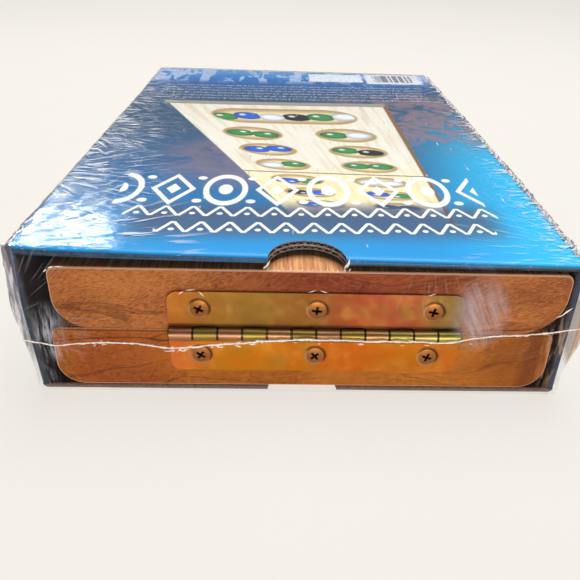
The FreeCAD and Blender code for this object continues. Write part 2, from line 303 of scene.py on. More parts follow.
def yellow_zinc(name, stops, barrel_stops, rough=0.34):
    """Yellow passivated zinc: a gold film whose thickness turns it olive, orange and red."""
    s = Shader(name)
    x, y, z = s.xyz(s.place)[0:3]
    along = s.over(s.minus(x, HINGE_X - HINGE_HALF_L), 2 * HINGE_HALF_L)
    wander = s.times(s.minus(s.noise(s.place, 0.07, 3.0), 0.5), 0.28)
    colour = s.ramp(s.plus(along, wander), stops)
    cloud = s.noise(s.place, 0.22, 4.0, 0.6)
    colour = s.mix(s.smooth(cloud, 0.4, 0.8, 0.0, 0.35), colour, srgb(206, 160, 74))
    stain = s.smooth(s.stretched(s.place, 1.6, 1.0, 0.45, detail=4.0, rough=0.7), 0.56, 0.70, 0.0, 0.55)
    colour = s.mix(stain, colour, srgb(104, 62, 28))
    olive = s.smooth(s.noise(s.vector("ADD", s.place, (9, 0, 4)), 0.12, 3.0), 0.52, 0.66, 0.0, 0.32)
    colour = s.mix(olive, colour, srgb(146, 118, 34))
    from_pin = s.size(s.minus(z, SEAM_Z))
    barrel = s.smooth(s.minus(y, BOARD_LO[1] - LEAF_T), 0.0, -0.3)
    colour = s.mix(barrel, colour, s.ramp(along, barrel_stops))
    # painted shade in the crease between the leaf plate and the barrel
    crevice_painted_shade = s.times(s.smooth(from_pin, 1.5, 1.9), s.smooth(from_pin, 3.3, 2.2), s.smooth(barrel, 1.0, 0.0))
    colour = s.mix(s.times(crevice_painted_shade, 0.75), colour, srgb(58, 38, 18))
    # painted shade in the gaps between the knuckles
    turn = s.math("FRACT", s.plus(s.times(along, KNUCKLES), 0.5))
    between = s.times(s.size(s.minus(turn, 0.5)), 2 * HINGE_HALF_L / KNUCKLES)
    colour = s.mix(s.times(s.smooth(between, 0.42, 0.22), barrel, 0.9), colour, srgb(40, 28, 14))
    gap, lean = around_screws(s)
    # painted shadow: a dark crescent on the upper right of each screw's countersink
    seat_painted_shadow = s.times(s.smooth(gap, 3.75, 3.1), s.smooth(lean, -0.8, 2.2), s.smooth(from_pin, 3.0, 3.6))
    colour = s.mix(s.times(seat_painted_shadow, 0.8), colour, srgb(66, 42, 18))
    grain = s.stretched(s.place, 0.35, 5.0, 9.0, detail=3.0)
    dents = s.noise(s.place, 0.05, 2.0)
    normal = s.bump(dents, 0.3, 0.004, s.bump(grain, 0.12, 0.0002))
    roughness = s.plus(rough, s.times(cloud, 0.18))
    return s.finish(s.principled(Base_Color=colour, Metallic=1.0, Roughness=roughness, Normal=normal))


def screw_head():
    """Yellow zinc on a screw: a darker dish, a painted highlight on the lower left of the rim, a painted
    shadow on its upper right and painted shade in the recess.
    """
    s = Shader("zinc_screw")
    gap, lean = around_screws(s)
    cloud = s.noise(s.place, 0.7, 4.0)
    colour = s.mix(cloud, srgb(132, 76, 34), srgb(170, 110, 58))
    # painted highlight on the lower left of the rim
    colour = s.mix(s.times(s.smooth(gap, 2.2, 2.6), s.smooth(lean, 1.0, -1.6)), colour, srgb(186, 134, 86))
    # painted shadow on the upper right of the rim
    colour = s.mix(s.times(s.smooth(gap, 2.45, 2.9), s.smooth(lean, -1.2, 1.2)), colour, srgb(72, 44, 22))
    # painted shade, darker deeper into the recess
    depth = s.minus(s.xyz(s.place)[1], BOARD_LO[1] - LEAF_T)
    colour = s.mix(s.smooth(depth, -0.10, 0.35, 0.0, 0.9), colour, srgb(44, 28, 16))
    return s.finish(s.principled(Base_Color=colour, Metallic=1.0, Roughness=0.36,
                                 Normal=s.bump(cloud, 0.2, 0.0003)))


def steel(name):
    s = Shader(name)
    cloud = s.noise(s.place, 0.8, 4.0)
    colour = s.mix(cloud, srgb(150, 140, 118), srgb(206, 200, 180))
    return s.finish(s.principled(Base_Color=colour, Metallic=1.0, Roughness=0.3,
                                 Normal=s.bump(cloud, 0.1, 0.0002)))


def glass_stone(name, body, swirl, see_through):
    """A glass stone with a swirl of a second colour and fine bubbles."""
    s = Shader(name)
    turn = s.noise(s.place, 0.22, 2.0, 0.5, 1.6)
    colour = s.mix(s.smooth(turn, 0.45, 0.62), body, swirl)
    bubble = s.smooth(s.noise(s.place, 1.7, 1.0), 0.68, 0.74)
    colour = s.mix(s.times(bubble, 0.4), colour, (0.85, 0.9, 0.9, 1))
    dimple = s.noise(s.place, 0.35, 1.0)
    return s.finish(s.principled(Base_Color=colour, Roughness=0.06, IOR=1.5, Coat_Weight=0.6,
                                 Coat_Roughness=0.04, Transmission_Weight=see_through,
                                 Normal=s.bump(dimple, 0.15, 0.001)))


def dress_cad_nodes():
    upper_gold = [(0.0, srgb(178, 100, 38)), (0.12, srgb(158, 102, 38)), (0.28, srgb(138, 98, 40)),
                  (0.50, srgb(142, 84, 38)), (0.64, srgb(164, 74, 44)), (0.80, srgb(172, 78, 52)),
                  (0.88, srgb(140, 98, 44)), (1.0, srgb(138, 106, 60))]
    lower_gold = [(0.0, srgb(208, 104, 42)), (0.2, srgb(194, 114, 14)), (0.36, srgb(190, 108, 10)),
                  (0.62, srgb(198, 92, 18)), (0.8, srgb(188, 104, 14)), (1.0, srgb(190, 100, 28))]
    upper_barrel = [(0.0, srgb(172, 118, 86)), (0.7, srgb(168, 124, 78)), (1.0, srgb(184, 160, 88))]
    lower_barrel = [(0.0, srgb(150, 124, 56)), (0.6, srgb(150, 122, 58)), (1.0, srgb(170, 160, 78))]
    materials = {
        "upper_board": wood("wood_upper", srgb(196, 118, 58), srgb(118, 60, 28),
                            srgb(204, 150, 176), (14, 42), bands=0.0),
        "lower_board": wood("wood_lower", srgb(190, 112, 32), srgb(126, 62, 14),
                            srgb(230, 200, 236), (-52, 20), bands=1.0),
        "hinge_leaf_upper": yellow_zinc("zinc_upper", upper_gold, upper_barrel),
        "hinge_leaf_lower": yellow_zinc("zinc_lower", lower_gold, lower_barrel),
        "hinge_pin": steel("pin_steel"),
        "stones_white": glass_stone("glass_white", (0.80, 0.84, 0.82, 1), (0.62, 0.72, 0.80, 1), 0.15),
        "stones_black": glass_stone("glass_black", (0.010, 0.010, 0.014, 1), (0.04, 0.03, 0.05, 1), 0.0),
        "stones_blue": glass_stone("glass_blue", (0.02, 0.12, 0.62, 1), (0.16, 0.42, 0.85, 1), 0.45),
        "stones_green": glass_stone("glass_green", (0.03, 0.36, 0.12, 1), (0.35, 0.62, 0.22, 1), 0.45),
    }
    screws = screw_head()
    for node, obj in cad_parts.items():
        material = screws if node.startswith("screw_") else materials.get(node)
        if material is None:
            continue
        obj.data.materials.clear()
        obj.data.materials.append(material)


# ---- Printed card

def homography(corners):
    """The projective map that takes printed points to the unit square of the pictured board."""
    rows = []
    right = []
    for (x, y), (a, b) in zip(corners, ((0, 0), (1, 0), (1, 1), (0, 1))):
        rows.append([x, y, 1, 0, 0, 0, -a * x, -a * y])
        rows.append([0, 0, 0, x, y, 1, -b * x, -b * y])
        right += [a, b]
    h = np.linalg.solve(np.array(rows, float), np.array(right, float))
    return [tuple(map(float, h[0:3])), tuple(map(float, h[3:6])), (float(h[6]), float(h[7]), 1.0)]


PICTURE_CORNERS = ((-59, 150.5), (41, 155), (43.6, 21), (-2.4, 23))
PICTURE_W = 142.0
PICTURE_L = 444.0
PIT_X = 33.0
PIT_PITCH = 53.0
FIRST_PIT = 29.0
STORE_AT = 189.0
STONE_STEP = 16.5        # between the pictured stones of one pit


def picture_of_board(s, art):
    """An open board in perspective with round pits, oval stores and coloured stones."""
    x, y = s.xyz(art)[0:2]
    point = s.join(x, y, 1.0)
    rows = [s.vector("DOT_PRODUCT", point, row) for row in homography(PICTURE_CORNERS)]
    u = s.over(rows[0], rows[2])
    v = s.over(rows[1], rows[2])
    a = s.times(s.minus(u, 0.5), PICTURE_W)
    b = s.times(s.minus(v, 0.5), PICTURE_L)
    board = s.join(a, b)
    side = s.size(a)
    along = s.size(b)

    inside = s.times(s.smooth(side, PICTURE_W / 2, PICTURE_W / 2 - 1.5),
                     s.smooth(along, PICTURE_L / 2, PICTURE_L / 2 - 3))
    edge_band = s.times(s.smooth(a, PICTURE_W / 2 - 1, PICTURE_W / 2),
                        s.smooth(a, PICTURE_W / 2 + 2.8, PICTURE_W / 2 + 1.8),
                        s.smooth(along, PICTURE_L / 2, PICTURE_L / 2 - 3))
    far_band = s.times(s.smooth(b, -PICTURE_L / 2 + 1, -PICTURE_L / 2),
                       s.smooth(b, -PICTURE_L / 2 - 8, -PICTURE_L / 2 - 6),
                       s.smooth(side, PICTURE_W / 2 + 2, PICTURE_W / 2))

    row = s.math("ROUND", s.over(s.minus(along, FIRST_PIT), PIT_PITCH))
    row = s.math("MINIMUM", s.most(row, 0.0), 2.0)
    pit_b = s.plus(s.times(row, PIT_PITCH), FIRST_PIT)
    to_pit = s.join(s.minus(side, PIT_X), s.minus(along, pit_b))
    pit_gap = s.vector("LENGTH", to_pit)
    store_x = s.most(s.minus(side, 28.0), 0.0)
    store_gap = s.vector("LENGTH", s.join(store_x, s.minus(along, STORE_AT)))
    gap = s.math("MINIMUM", pit_gap, store_gap)
    hollow = s.smooth(gap, 21.5, 20.0)

    grain = s.stretched(board, 0.20, 0.012, 1.0, detail=4.0)
    wood_light = s.mix(s.smooth(b, -60.0, 60.0), srgb(246, 240, 224), srgb(255, 238, 190))
    surface = s.mix(s.smooth(grain, 0.45, 0.7, 0.0, 0.35), wood_light, srgb(206, 178, 128))
    deep = s.mix(s.smooth(gap, 6.0, 20.0), srgb(244, 228, 184), srgb(184, 154, 98))
    lip = s.times(s.smooth(gap, 19.0, 20.5), s.smooth(gap, 22.5, 21.0))
    surface = s.mix(s.times(lip, 0.35), surface, srgb(196, 168, 112))
    surface = s.mix(hollow, surface, deep)

    half_of = s.times(s.math("SIGN", b), 7.0)
    side_of = s.times(s.math("SIGN", a), 3.0)
    pit_key = s.plus(s.plus(half_of, side_of), row)
    in_store = s.math("LESS_THAN", store_gap, pit_gap)
    along_pit = s.minus(s.times(a, s.math("SIGN", a)), PIT_X)
    along_pit = s.add("Mix", {0: in_store, 2: along_pit, 3: a}).outputs[0]
    stone_at = s.math("ROUND", s.minus(s.over(along_pit, STONE_STEP), 0.5))
    most = s.times(in_store, 2.0)
    stone_at = s.most(s.math("MINIMUM", stone_at, most), s.minus(-1.0, most))
    stone_x = s.minus(along_pit, s.times(s.plus(stone_at, 0.5), STONE_STEP))
    key = s.join(s.plus(pit_key, s.times(in_store, 40.0)), stone_at)
    dice = s.add("TexWhiteNoise", {"Vector": key}, noise_dimensions="3D")
    lift = s.times(s.minus(dice.outputs["Value"], 0.5), 9.0)
    row_b = s.add("Mix", {0: in_store, 2: pit_b, 3: STORE_AT}).outputs[0]
    stone_y = s.plus(s.minus(along, row_b), lift)
    from_stone = s.vector("LENGTH", s.join(stone_x, stone_y))
    glass = s.ramp(s.xyz(dice.outputs["Color"])[1],
                   [(0.0, srgb(240, 246, 248)), (0.28, srgb(30, 32, 42)), (0.46, srgb(36, 104, 220)),
                    (0.70, srgb(56, 150, 84))], constant=True)
    glass = s.mix(s.smooth(from_stone, 4.0, 10.5, 0.0, 0.5), glass, srgb(18, 26, 44))
    glint = s.smooth(s.vector("LENGTH", s.join(s.plus(stone_x, 2.5), s.minus(stone_y, 3.0))), 3.2, 1.0)
    glass = s.mix(s.times(glint, 0.9), glass, (1, 1, 1, 1))
    stones = s.times(s.smooth(from_stone, 10.6, 9.7), s.smooth(gap, 20.0, 19.0))
    surface = s.mix(stones, surface, glass)
    seam = s.smooth(along, 2.4, 1.0)
    surface = s.mix(s.times(seam, 0.85), surface, srgb(96, 66, 40))
    return surface, inside, edge_band, far_band


def ornament_band(s, art, centre, half_w, height, pitch):
    """A border of fine-lined diamonds and ovals with a bead between each pair."""
    x, y = s.xyz(art)[0:2]
    cell = s.over(x, pitch)
    local = s.times(s.minus(s.math("FRACT", cell), 0.5), pitch)
    rise = s.minus(y, centre)
    ax = s.over(s.size(local), pitch * 0.44)
    ay = s.over(s.size(rise), height / 2)
    diamond = s.plus(ax, ay)
    oval = s.vector("LENGTH", s.join(ax, ay))
    odd = s.math("GREATER_THAN", s.math("FRACT", s.times(s.math("FLOOR", cell), 0.5)), 0.25)
    shape = s.add("Mix", {0: odd, 2: oval, 3: diamond}).outputs[0]
    outer = s.smooth(shape, 1.0, 0.95)
    inner = s.smooth(shape, 0.70, 0.75)
    ring = s.times(outer, inner)
    core = s.times(s.smooth(shape, 0.34, 0.28))
    bead_x = s.minus(pitch / 2, s.size(local))
    bead = s.smooth(s.vector("LENGTH", s.join(bead_x, s.minus(s.size(rise), height * 0.36))), 1.7, 1.3)
    within = s.smooth(s.size(x), half_w, half_w - 0.5)
    return s.times(s.most(s.most(ring, core), bead), within)


def zigzag_band(s, art, centre, shift, half_w, height, pitch):
    """A fine zigzag rule with a dot in each fold."""
    x, y = s.xyz(art)[0:2]
    x = s.minus(x, shift)
    rise = s.minus(y, centre)
    wave = s.math("PINGPONG", x, pitch / 2)
    line = s.minus(s.times(wave, 2 * height / pitch), height / 2)
    off = s.size(s.minus(rise, line))
    stroke = s.times(s.smooth(off, 1.25, 0.95), s.smooth(s.size(rise), height / 2, height / 2 - 0.4))
    fold = s.minus(s.times(s.math("FRACT", s.over(x, pitch)), pitch), pitch / 2)
    spot = s.vector("LENGTH", s.join(fold, s.plus(rise, height * 0.22)))
    spot = s.smooth(spot, 1.0, 0.75)
    return s.times(s.most(stroke, spot), s.smooth(s.size(x), half_w, half_w - 0.5))


def block(s, x, y, x0, x1, y0, y1, soft=0.6):
    return s.times(s.smooth(x, x0 - soft, x0 + soft), s.smooth(x, x1 + soft, x1 - soft),
                   s.smooth(y, y0 - soft, y0 + soft), s.smooth(y, y1 + soft, y1 - soft))


def printed_card():
    """The slipcase's outside: a blue marbled ground, a picture of an open board and borders."""
    s = Shader("printed_card")
    x, y, z = s.xyz(s.place)[0:3]
    from_front = s.minus(y, FRONT_Y)
    art = s.join(x, from_front)
    slant = s.minus(from_front, s.times(x, 0.05))
    text_art = s.join(x, slant)

    swirl = s.noise(art, 0.012, 5.0, 0.6, 1.2)
    base = s.ramp(s.over(s.plus(slant, s.times(swirl, 18.0)), 230.0),
                  [(0.0, srgb(0, 154, 224)), (0.10, srgb(0, 148, 212)), (0.19, srgb(10, 118, 176)),
                   (0.34, srgb(36, 96, 146)), (0.52, srgb(50, 86, 120)), (0.78, srgb(50, 84, 118)),
                   (0.88, srgb(44, 98, 156)), (0.94, srgb(48, 126, 200)), (1.0, srgb(96, 156, 216))])
    right_lift = s.smooth(x, 30.0, 75.0, 0.0, 0.8)
    base = s.mix(s.times(right_lift, s.smooth(slant, 170.0, 60.0)), base, srgb(36, 204, 255))
    marble = s.noise(art, 0.045, 4.0, 0.65, 2.2)
    mauve = s.mix(marble, srgb(112, 86, 96), srgb(168, 146, 154))
    from_left, from_right = (s.vector("DISTANCE", art, middle) for middle in ((-24, 74, 0), (54, 138, 0)))
    left_patch = s.times(s.smooth(from_left, 34.0, 14.0), s.smooth(marble, 0.30, 0.5))
    right_patch = s.times(s.smooth(from_right, 56.0, 26.0), s.smooth(marble, 0.42, 0.52))
    drips = s.stretched(art, 0.13, 0.035, 1.0, detail=3.0, distort=1.0)
    far_patch = s.times(s.smooth(slant, 194.0, 206.0), s.smooth(drips, 0.50, 0.54))
    base = s.mix(s.times(left_patch, 0.55), base, mauve)
    base = s.mix(s.times(right_patch, 0.8), base, mauve)
    base = s.mix(s.times(far_patch, 0.8), base, srgb(190, 208, 236))

    picture, inside, edge_band, far_band = picture_of_board(s, art)
    base = s.mix(edge_band, base, srgb(142, 104, 66))
    base = s.mix(far_band, base, srgb(168, 160, 144))
    fade = s.smooth(slant, 24.0, 40.0)
    base = s.mix(s.times(inside, fade), base, picture)

    shadow = block(s, x, slant, -50.0, 58.0, 12.0, 34.0, soft=6.0)
    base = s.mix(s.times(shadow, 0.7), base, srgb(70, 66, 84))
    marks = s.most(ornament_band(s, text_art, 46.5, 57.4, 27.0, 16.4),
                   zigzag_band(s, text_art, 29.0, 3.0, 56.0, 7.4, 8.0))
    marks = s.most(marks, zigzag_band(s, text_art, 18.0, 6.5, 49.0, 7.4, 8.0))
    base = s.mix(marks, base, srgb(250, 250, 250))

    tiny = s.math("FRACT", s.over(slant, 5.2))
    tiny_row = s.times(s.smooth(tiny, 0.25, 0.35), s.smooth(tiny, 0.8, 0.7))
    speck = s.smooth(s.stretched(art, 1.1, 0.7, 1.0, detail=1.0), 0.50, 0.56)
    fine = s.times(tiny_row, speck, block(s, x, slant, -66.0, 66.0, 160.0, 192.0))
    base = s.mix(s.times(fine, 0.75), base, srgb(206, 216, 232))

    labels = s.most(block(s, x, slant, 8.0, 37.0, 203.0, 221.0), block(s, x, slant, 39.0, 69.0, 200.0, 223.0))
    base = s.mix(labels, base, srgb(236, 240, 248))
    bars = s.times(block(s, x, slant, 43.0, 65.0, 204.0, 220.0),
                   s.smooth(s.stretched(art, 0.9, 0.0, 0.0, detail=0.0), 0.46, 0.5))
    base = s.mix(s.times(bars, 0.75), base, srgb(60, 66, 84))

    on_top = s.smooth(z, SLEEVE_Z + SLEEVE_H - 4.5, SLEEVE_Z + SLEEVE_H - 3.0)
    # the sides' and underside's print ground, turned near black at the front folds as painted shade
    side_ground_and_fold_shade = s.ramp(s.over(from_front, SLEEVE_L),
                         [(0.0, srgb(34, 34, 40)), (0.02, srgb(38, 40, 48)),
                          (0.05, srgb(40, 66, 100)), (1.0, srgb(46, 74, 118))])
    side_ground_and_fold_shade = s.mix(s.smooth(marble, 0.4, 0.7, 0.0, 0.4), side_ground_and_fold_shade, srgb(70, 92, 126))
    colour = s.mix(on_top, side_ground_and_fold_shade, base)
    # painted shade: the top's rounded front fold turns dark where it faces forward, mottled by noise
    nose_painted_shade = s.smooth(s.xyz(s.coords.outputs["Normal"])[2], 0.86, 0.3)
    nose_painted_shade = s.times(nose_painted_shade, on_top, s.smooth(from_front, 3.0, 1.5))
    nose_shade_mottle = s.smooth(s.noise(s.place, 1.1, 3.0), 0.35, 0.7)
    colour = s.mix(s.times(nose_painted_shade, 0.94), colour, s.mix(nose_shade_mottle, srgb(20, 18, 24), srgb(52, 58, 72)))
    fibre = s.stretched(s.place, 0.7, 0.25, 0.7, detail=3.0)
    flute = s.math("SINE", s.times(x, 2 * math.pi / RIB_PITCH))
    height = s.plus(s.times(fibre, 0.35), s.times(flute, 0.10))
    return s.finish(s.principled(Base_Color=colour, Roughness=0.45, Normal=s.bump(height, 0.14, 0.0005),
                                 Specular_IOR_Level=0.3, Coat_Weight=0.08, Coat_Roughness=0.16))


def inner_card():
    s = Shader("inner_card")
    fibre = s.stretched(s.place, 0.5, 0.15, 0.5, detail=5.0, rough=0.7)
    # a dark grey-brown board, painted darker still to stand in for the shade inside the sleeve
    colour = s.mix(s.smooth(fibre, 0.3, 0.7), srgb(34, 26, 26), srgb(60, 48, 46))
    flute = s.math("SINE", s.times(s.xyz(s.place)[0], 2 * math.pi / RIB_PITCH))
    height = s.plus(s.times(fibre, 0.5), s.times(flute, 0.2))
    return s.finish(s.principled(Base_Color=colour, Roughness=0.85, Normal=s.bump(height, 0.2, 0.0006)))


def raw_card(name, dark, light):
    s = Shader(name)
    fibre = s.noise(s.place, 2.2, 5.0, 0.7)
    colour = s.mix(s.smooth(fibre, 0.3, 0.7), dark, light)
    return s.finish(s.principled(Base_Color=colour, Roughness=0.9, Normal=s.bump(fibre, 0.4, 0.0003)))


# ---- Slipcase mesh

def mesh_object(name, points, faces, materials, slots=None, smooth=True):
    mesh = bpy.data.meshes.new(name)
    mesh.from_pydata([[c * MM for c in p] for p in points], [], faces)
    for material in materials:
        mesh.materials.append(material)
    if slots:
        mesh.polygons.foreach_set("material_index", slots)
    mesh.polygons.foreach_set("use_smooth", [smooth] * len(mesh.polygons))
    obj = bpy.data.objects.new(name, mesh)
    bpy.context.scene.collection.objects.link(obj)
    return obj


def strip_faces(columns, height, closed=False):
    """Quads between neighbouring columns of points; closed also joins the last column to the first."""
    faces = []
    for c in range(columns if closed else columns - 1):
        here = c * height
        after = (c + 1) % columns * height
        faces += [(here + r, after + r, after + r + 1, here + r + 1) for r in range(height - 1)]
    return faces


def clean_up(obj, distance, sharp_deg=35):
    """Merges doubled points, turns the faces outward and marks hard edges."""
    work = bmesh.new()
    work.from_mesh(obj.data)
    bmesh.ops.remove_doubles(work, verts=work.verts, dist=distance)
    bmesh.ops.dissolve_degenerate(work, edges=work.edges, dist=distance)
    bmesh.ops.recalc_face_normals(work, faces=work.faces)
    for edge in work.edges:
        edge.smooth = len(edge.link_faces) == 2 and edge.calc_face_angle(0) < math.radians(sharp_deg)
    work.to_mesh(obj.data)
    work.free()
    return obj


def sagged(x, y, z):
    """The slipcase's front edge sags to the right, its left side leans out, and its top is not quite flat."""
    across = min(max((x + HALF_W) / (2 * HALF_W), 0.0), 1.0)
    near_front = math.exp(-max(y - FRONT_Y, 0.0) / SAG_FADE)
    height = min(max((z - SLEEVE_Z) / SLEEVE_H, 0.0), 1.0)
    drop = FRONT_SAG * across ** 0.5 * near_front * height ** 3
    to_left = min(max((10.0 - x) / (HALF_W + 10.0), 0.0), 1.0)
    fading = min(max(1 - (y - FRONT_Y) / LEAN_END, 0.0), 1.0)
    lean = LEFT_LEAN * to_left ** 2 * height * fading
    along = min(max((y - FRONT_Y) / SLEEVE_L, 0.0), 1.0)
    belly = TOP_BELLY * math.sin(math.pi * along) * math.cos(math.pi * (across - 0.5))
    belly *= max(height * 8 - 7, 0)
    return (x - lean, y, z - drop - belly)


def notch_y(x):
    """How far behind the front edge the thumb notch lies at x."""
    radius = (NOTCH_HALF_W ** 2 + NOTCH_DEPTH ** 2) / (2 * NOTCH_DEPTH)
    return NOTCH_DEPTH - radius + math.sqrt(max(radius ** 2 - x * x, 0.0))


def spread(start, end, step):
    count = max(1, round(abs(end - start) / step))
    return [start + (end - start) * i / count for i in range(count + 1)]


def crease(centre_x, centre_z, start_deg, kind):
    """Stations round one long crease, turning clockwise as seen from the front."""
    stations = []
    for i in range(1, 6):
        angle = math.radians(start_deg - 90 * i / 6)
        normal = (math.cos(angle), math.sin(angle))
        stations.append((centre_x + CREASE_R * normal[0], centre_z + CREASE_R * normal[1], normal, kind))
    return stations


def section(top, under, side_step, crease_kind):
    """Clockwise round the pack's section: each station's place, outward normal and kind."""
    low = SLEEVE_Z + CREASE_R
    high = SLEEVE_Z + SLEEVE_H - CREASE_R
    stations = [(x, SLEEVE_Z + SLEEVE_H, (0.0, 1.0), kind) for x, kind in top]
    stations += crease(FLAT_HALF_W, high, 90, crease_kind)
    stations += [(HALF_W, z, (1.0, 0.0), "side") for z in spread(high, low, side_step)]
    stations += crease(FLAT_HALF_W, low, 0, crease_kind)
    stations += [(x, SLEEVE_Z, (0.0, -1.0), kind) for x, kind in under]
    stations += crease(-FLAT_HALF_W, low, -90, crease_kind)
    stations += [(-HALF_W, z, (-1.0, 0.0), "side") for z in spread(low, high, side_step)]
    return stations + crease(-FLAT_HALF_W, high, 180, crease_kind)


def card_stations():
    """Round the slipcase; the kinds are those of its front edge."""
    notch = [x * NOTCH_HALF_W for x in np.cos(np.linspace(math.pi, 0, 33))]
    top = [(x, "plain") for x in (-FLAT_HALF_W, -HEM_HALF_W)]
    top += [(x, "hem") for x in spread(-HEM_HALF_W, -NOTCH_HALF_W, 4)]
    top += [(x, "notch2") for x in notch]
    top += [(x, "hem") for x in spread(NOTCH_HALF_W, HEM_HALF_W, 4)]
    top += [(x, "plain") for x in (HEM_HALF_W, FLAT_HALF_W)]
    under = [(x, "plain") for x in spread(FLAT_HALF_W, NOTCH_HALF_W, 4)]
    under += [(x, "notch1") for x in notch[::-1]]
    under += [(x, "plain") for x in spread(-NOTCH_HALF_W, -FLAT_HALF_W, 4)]
    return section(top, under, 2, "plain")


def front_rows(kind, x):
    """(distance behind the front edge, depth below the outside) from the hem round to the outside."""
    thick = {"hem": 2 * CARD_T, "notch2": 2 * CARD_T, "side": SIDE_FOLD_T}.get(kind, CARD_T)
    if kind in ("hem", "side", "plain"):
        r = thick / 2
        turns = [math.radians(20 * k) for k in range(1, 10)]
        rows = [(HEM_DEPTH, CARD_T), (HEM_DEPTH, thick), (HEM_DEPTH / 2, thick), (r, thick)]
        return rows + [(r - r * math.sin(a), r + r * math.cos(a)) for a in turns]
    y = notch_y(x)
    rows = [(HEM_DEPTH, CARD_T), (HEM_DEPTH, thick), (HEM_DEPTH / 2 + y / 2, thick), (y, thick)]
    for base in ((CARD_T, 0.0) if kind == "notch2" else (0.0,)):
        upper = base + CARD_T - LINER_T
        lower = base + LINER_T
        rows += [(y, upper), (y + GROOVE, upper), (y + GROOVE, lower), (y, lower)]
    return rows + [(y, 0.0)] * (13 - len(rows))


def card_rows(kind, x):
    rows = [(SLEEVE_L - CARD_T, CARD_T)] + front_rows(kind, x)
    start = rows[-1][0]
    end = SLEEVE_L - BACK_R
    rows += [(start + (end - start) * t ** 1.5, 0.0) for t in spread(0.0, 1.0, 1 / 24)[1:]]
    for i in range(1, 6):
        angle = math.radians(90 * i / 5)
        rows.append((end + BACK_R * math.sin(angle), BACK_R - BACK_R * math.cos(angle)))
    return rows


def slipcase():
    """One creased card blank: outside, turned-in hem, thumb notches, inside and closed back."""
    stations = card_stations()
    columns = []
    for x, z, normal, kind in stations:
        column = []
        for behind, depth in card_rows(kind, x):
            point = (x - normal[0] * depth, FRONT_Y + behind, z - normal[1] * depth)
            column.append(sagged(*point))
        columns.append(column)
    rows = len(columns[0])
    count = len(columns)
    points = [p for column in columns for p in column]
    faces = []
    slots = []
    for c in range(count):
        after = (c + 1) % count
        both = stations[c][3].startswith("notch") and stations[after][3].startswith("notch")
        for r in range(rows - 1):
            faces.append((c * rows + r, c * rows + r + 1, after * rows + r + 1, after * rows + r))
            if r < 4:
                slots.append(1)
            elif r < 13 and both:
                slots.append(2 if r in (4, 8, 12) else 3)
            elif r < 13 and stations[c][2][1] < -0.5:
                slots.append(4)
            else:
                slots.append(1 if r < 6 else 0)
    for r, slot in ((rows - 1, 0), (0, 1)):
        faces.append([c * rows + r for c in range(count)])
        slots.append(slot)
    materials = [printed_card(), inner_card(), raw_card("card_edge", srgb(122, 106, 94), srgb(186, 168, 152)),
                 # painted shade: the notch grooves are near black, standing in for the shaded hollows between
                 # the liners
                 raw_card("card_cavity_painted_shade", srgb(40, 34, 32), srgb(66, 58, 54)),
                 # a darker card colour on the bottom panel's rounded front edge
                 raw_card("card_darker_bottom_edge", srgb(88, 66, 56), srgb(138, 112, 98))]
    obj = mesh_object("slipcase_card", points, faces, materials, slots)
    return clean_up(obj, 1e-6)


def flutes(name, base_z, up, layers):
    """The wavy middle sheets of the card, seen in the grooves of a thumb notch."""
    material = raw_card(name + "_paper", srgb(128, 114, 104), srgb(196, 182, 168))
    points = []
    faces = []
    half = 0.07
    for layer in range(layers):
        middle = base_z + up * (CARD_T / 2 + layer * CARD_T)
        swing = CARD_T / 2 - LINER_T - half
        first = len(points)
        xs = spread(-NOTCH_HALF_W + 0.35, NOTCH_HALF_W - 0.35, 0.16)
        for x in xs:
            phase = (x / FLUTE_PITCH + 0.3 * layer) % 1.0
            wave = math.sin(2 * math.pi * phase)
            wave = swing * (1.25 * wave - 0.25 * wave ** 3)
            y = FRONT_Y + notch_y(x)
            for dy in (0.12, GROOVE - 0.02):
                for dz in (-half, half):
                    points.append(sagged(x, y + dy, middle + wave + dz))
        for i in range(len(xs) - 1):
            a = first + 4 * i
            b = a + 4
            faces += [(a + j, a + k, b + k, b + j) for j, k in ((0, 1), (1, 3), (3, 2), (2, 0))]
        last = first + 4 * (len(xs) - 1)
        faces += [(first, first + 2, first + 3, first + 1), (last, last + 1, last + 3, last + 2)]
    return clean_up(mesh_object(name, points, faces, [material]), 1e-7, 60)


# ---- Shrink film

def ridges(x, y, z, sharp=2.0):
    """Ridged noise from 0 to 1, with thin crests."""
    value = 1 - abs(noise.noise(Vector((x, y, z)))) * 2.2
    return max(value, 0.0) ** sharp


def corner_rays(x, y, cx, cy, spokes, reach, seed):
    """Wrinkles that run out from a corner of the pack and die away."""
    dx = x - cx
    dy = y - cy
    far = math.hypot(dx, dy)
    angle = math.atan2(dy, dx)
    return ridges(angle * spokes, far / 45 + seed, seed, 3.0) * math.exp(-far / reach) * min(far / 6, 1)


def top_wrinkle(x, y):
    """Height of the film's wrinkles over the top, x across and y behind the front edge."""
    height = 0.85 * corner_rays(x, y, -HALF_W, 0, 7.0, 34, 1.7)
    height += 0.45 * corner_rays(x, y, HALF_W, 0, 9.0, 30, 4.1)
    height += 0.45 * corner_rays(x, y, -HALF_W, SLEEVE_L, 6.0, 26, 7.3)
    height += 0.45 * corner_rays(x, y, HALF_W, SLEEVE_L, 6.0, 26, 9.9)
    left = math.exp(-(x + HALF_W) / 9.0)
    right = math.exp(-(HALF_W - x) / 9.0)
    height += 0.35 * left * ridges(x / 26, y / 3.4 + x / 9, 2.2)
    height += 0.30 * right * ridges(x / 26, y / 3.0 - x / 9, 5.2)
    height += 0.12 * ridges(x / 22, y / 60, 3.3, 4.0) * math.exp(-y / 30.0)
    return height


def ear(x, z):
    """How far the gathered film sticks out at the sides, most near the seam."""
    middle, size = (LEFT_EAR_Z, 0.5) if x < 0 else (RIGHT_EAR_Z, 1.0)
    return size * math.exp(-((z - middle) / EAR_SPREAD) ** 2)


